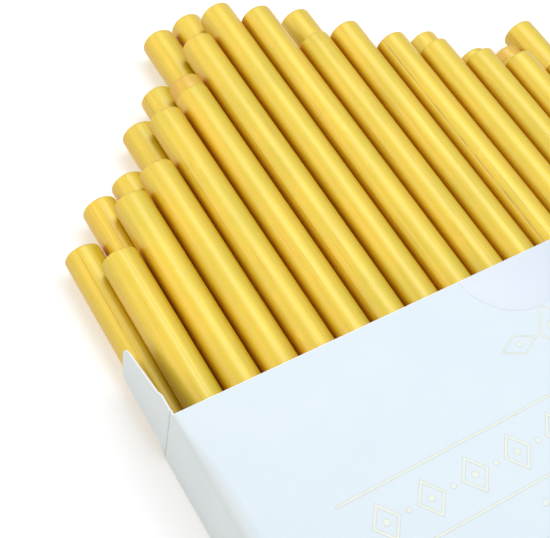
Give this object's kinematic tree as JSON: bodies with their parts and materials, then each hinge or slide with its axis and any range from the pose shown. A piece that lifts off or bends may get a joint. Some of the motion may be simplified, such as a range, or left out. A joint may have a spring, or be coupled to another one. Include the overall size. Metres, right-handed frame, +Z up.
{
  "type": "box of sealing wax sticks",
  "caption": "Shallow tuck-lid paperboard carton lying open, with two nested rows of round gold sealing wax sticks that slide out of its mouth.",
  "frame": {"origin": "middle of the carton's underside, on the face it lies on", "axes": "+X along the mouth from the left wall to the right wall, +Y out of the mouth along the sticks, +Z up"},
  "size_m": [0.2056, 0.267, 0.0281],
  "materials": {
    "gold_wax": "satin metallic wax",
    "carton_board": "matt coated, pale blue",
    "clear_film": "clear gloss film"
  },
  "bodies": {
    "carton": {"back_panel": "carton_board", "front_panel": "carton_board", "left_wall": "carton_board", "right_wall": "carton_board", "glue_flap": "carton_board", "base_outer_flap": "carton_board", "base_inner_flap": "carton_board", "base_dust_flap_left": "carton_board", "base_dust_flap_right": "carton_board", "seal_half_front": "clear_film"},
    "left_dust_flap": {"mouth_dust_flap_left": "carton_board"},
    "right_dust_flap": {"mouth_dust_flap_right": "carton_board"},
    "lid": {"lid_panel": "carton_board", "seal_half_lid": "clear_film"},
    "tongue": {"lid_tongue": "carton_board"},
    "lower_stick_01": {"lower_stick_01": "gold_wax"},
    "lower_stick_02": {"lower_stick_02": "gold_wax"},
    "lower_stick_03": {"lower_stick_03": "gold_wax"},
    "lower_stick_04": {"lower_stick_04": "gold_wax"},
    "lower_stick_05": {"lower_stick_05": "gold_wax"},
    "lower_stick_06": {"lower_stick_06": "gold_wax"},
    "lower_stick_07": {"lower_stick_07": "gold_wax"},
    "lower_stick_08": {"lower_stick_08": "gold_wax"},
    "lower_stick_09": {"lower_stick_09": "gold_wax"},
    "lower_stick_10": {"lower_stick_10": "gold_wax"},
    "lower_stick_11": {"lower_stick_11": "gold_wax"},
    "lower_stick_12": {"lower_stick_12": "gold_wax"},
    "lower_stick_13": {"lower_stick_13": "gold_wax"},
    "lower_stick_14": {"lower_stick_14": "gold_wax"},
    "lower_stick_15": {"lower_stick_15": "gold_wax"},
    "lower_stick_16": {"lower_stick_16": "gold_wax"},
    "lower_stick_17": {"lower_stick_17": "gold_wax"},
    "lower_stick_18": {"lower_stick_18": "gold_wax"},
    "upper_stick_01": {"upper_stick_01": "gold_wax"},
    "upper_stick_02": {"upper_stick_02": "gold_wax"},
    "upper_stick_03": {"upper_stick_03": "gold_wax"},
    "upper_stick_04": {"upper_stick_04": "gold_wax"},
    "upper_stick_05": {"upper_stick_05": "gold_wax"},
    "upper_stick_06": {"upper_stick_06": "gold_wax"},
    "upper_stick_07": {"upper_stick_07": "gold_wax"},
    "upper_stick_08": {"upper_stick_08": "gold_wax"},
    "upper_stick_09": {"upper_stick_09": "gold_wax"},
    "upper_stick_10": {"upper_stick_10": "gold_wax"},
    "upper_stick_11": {"upper_stick_11": "gold_wax"},
    "upper_stick_12": {"upper_stick_12": "gold_wax"},
    "upper_stick_13": {"upper_stick_13": "gold_wax"},
    "upper_stick_14": {"upper_stick_14": "gold_wax"},
    "upper_stick_15": {"upper_stick_15": "gold_wax"},
    "upper_stick_16": {"upper_stick_16": "gold_wax"},
    "upper_stick_17": {"upper_stick_17": "gold_wax"}
  },
  "joints": [
    {"name": "left_dust_flap_crease", "type": "hinge", "parent": "carton", "child": "left_dust_flap", "pos_m": [-0.10285, 0.0702, 0.01398], "axis": [0, 0, 1], "range_deg": [0, 150]},
    {"name": "right_dust_flap_crease", "type": "hinge", "parent": "carton", "child": "right_dust_flap", "pos_m": [0.10285, 0.0702, 0.01398], "axis": [0, 0, -1], "range_deg": [0, 150]},
    {"name": "lid_crease", "type": "hinge", "parent": "carton", "child": "lid", "pos_m": [0, 0.069, 0], "axis": [-1, 0, 0], "range_deg": [0, 150]},
    {"name": "tongue_crease", "type": "hinge", "parent": "lid", "child": "tongue", "pos_m": [0, 0.09697, 0.0001], "axis": [-1, 0, 0], "range_deg": [0, 60]},
    {"name": "lower_stick_01_slide", "type": "slide", "parent": "carton", "child": "lower_stick_01", "axis": [0, 1, 0], "range_m": [-0.0635, 0.0715]},
    {"name": "lower_stick_02_slide", "type": "slide", "parent": "carton", "child": "lower_stick_02", "axis": [0, 1, 0], "range_m": [-0.076, 0.059]},
    {"name": "lower_stick_03_slide", "type": "slide", "parent": "carton", "child": "lower_stick_03", "axis": [0, 1, 0], "range_m": [-0.0805, 0.0545]},
    {"name": "lower_stick_04_slide", "type": "slide", "parent": "carton", "child": "lower_stick_04", "axis": [0, 1, 0], "range_m": [-0.096, 0.039]},
    {"name": "lower_stick_05_slide", "type": "slide", "parent": "carton", "child": "lower_stick_05", "axis": [0, 1, 0], "range_m": [-0.106, 0.029]},
    {"name": "lower_stick_06_slide", "type": "slide", "parent": "carton", "child": "lower_stick_06", "axis": [0, 1, 0], "range_m": [-0.1265, 0.0085]},
    {"name": "lower_stick_07_slide", "type": "slide", "parent": "carton", "child": "lower_stick_07", "axis": [0, 1, 0], "range_m": [-0.129, 0.006]},
    {"name": "lower_stick_08_slide", "type": "slide", "parent": "carton", "child": "lower_stick_08", "axis": [0, 1, 0], "range_m": [-0.111, 0.024]},
    {"name": "lower_stick_09_slide", "type": "slide", "parent": "carton", "child": "lower_stick_09", "axis": [0, 1, 0], "range_m": [-0.095, 0.04]},
    {"name": "lower_stick_10_slide", "type": "slide", "parent": "carton", "child": "lower_stick_10", "axis": [0, 1, 0], "range_m": [-0.117, 0.018]},
    {"name": "lower_stick_11_slide", "type": "slide", "parent": "carton", "child": "lower_stick_11", "axis": [0, 1, 0], "range_m": [-0.087, 0.048]},
    {"name": "lower_stick_12_slide", "type": "slide", "parent": "carton", "child": "lower_stick_12", "axis": [0, 1, 0], "range_m": [-0.078, 0.057]},
    {"name": "lower_stick_13_slide", "type": "slide", "parent": "carton", "child": "lower_stick_13", "axis": [0, 1, 0], "range_m": [-0.0915, 0.0435]},
    {"name": "lower_stick_14_slide", "type": "slide", "parent": "carton", "child": "lower_stick_14", "axis": [0, 1, 0], "range_m": [-0.0785, 0.0565]},
    {"name": "lower_stick_15_slide", "type": "slide", "parent": "carton", "child": "lower_stick_15", "axis": [0, 1, 0], "range_m": [-0.075, 0.06]},
    {"name": "lower_stick_16_slide", "type": "slide", "parent": "carton", "child": "lower_stick_16", "axis": [0, 1, 0], "range_m": [-0.082, 0.053]},
    {"name": "lower_stick_17_slide", "type": "slide", "parent": "carton", "child": "lower_stick_17", "axis": [0, 1, 0], "range_m": [-0.064, 0.071]},
    {"name": "lower_stick_18_slide", "type": "slide", "parent": "carton", "child": "lower_stick_18", "axis": [0, 1, 0], "range_m": [-0.055, 0.08]},
    {"name": "upper_stick_01_slide", "type": "slide", "parent": "carton", "child": "upper_stick_01", "axis": [0, 1, 0], "range_m": [-0.0525, 0.0825]},
    {"name": "upper_stick_02_slide", "type": "slide", "parent": "carton", "child": "upper_stick_02", "axis": [0, 1, 0], "range_m": [-0.068, 0.067]},
    {"name": "upper_stick_03_slide", "type": "slide", "parent": "carton", "child": "upper_stick_03", "axis": [0, 1, 0], "range_m": [-0.0745, 0.0605]},
    {"name": "upper_stick_04_slide", "type": "slide", "parent": "carton", "child": "upper_stick_04", "axis": [0, 1, 0], "range_m": [-0.0905, 0.0445]},
    {"name": "upper_stick_05_slide", "type": "slide", "parent": "carton", "child": "upper_stick_05", "axis": [0, 1, 0], "range_m": [-0.0995, 0.0355]},
    {"name": "upper_stick_06_slide", "type": "slide", "parent": "carton", "child": "upper_stick_06", "axis": [0, 1, 0], "range_m": [-0.1125, 0.0225]},
    {"name": "upper_stick_07_slide", "type": "slide", "parent": "carton", "child": "upper_stick_07", "axis": [0, 1, 0], "range_m": [-0.1215, 0.0135]},
    {"name": "upper_stick_08_slide", "type": "slide", "parent": "carton", "child": "upper_stick_08", "axis": [0, 1, 0], "range_m": [-0.1155, 0.0195]},
    {"name": "upper_stick_09_slide", "type": "slide", "parent": "carton", "child": "upper_stick_09", "axis": [0, 1, 0], "range_m": [-0.0985, 0.0365]},
    {"name": "upper_stick_10_slide", "type": "slide", "parent": "carton", "child": "upper_stick_10", "axis": [0, 1, 0], "range_m": [-0.0985, 0.0365]},
    {"name": "upper_stick_11_slide", "type": "slide", "parent": "carton", "child": "upper_stick_11", "axis": [0, 1, 0], "range_m": [-0.0885, 0.0465]},
    {"name": "upper_stick_12_slide", "type": "slide", "parent": "carton", "child": "upper_stick_12", "axis": [0, 1, 0], "range_m": [-0.0805, 0.0545]},
    {"name": "upper_stick_13_slide", "type": "slide", "parent": "carton", "child": "upper_stick_13", "axis": [0, 1, 0], "range_m": [-0.071, 0.064]},
    {"name": "upper_stick_14_slide", "type": "slide", "parent": "carton", "child": "upper_stick_14", "axis": [0, 1, 0], "range_m": [-0.065, 0.07]},
    {"name": "upper_stick_15_slide", "type": "slide", "parent": "carton", "child": "upper_stick_15", "axis": [0, 1, 0], "range_m": [-0.058, 0.077]},
    {"name": "upper_stick_16_slide", "type": "slide", "parent": "carton", "child": "upper_stick_16", "axis": [0, 1, 0], "range_m": [-0.051, 0.084]},
    {"name": "upper_stick_17_slide", "type": "slide", "parent": "carton", "child": "upper_stick_17", "axis": [0, 1, 0], "range_m": [-0.044, 0.091]}
  ]
}
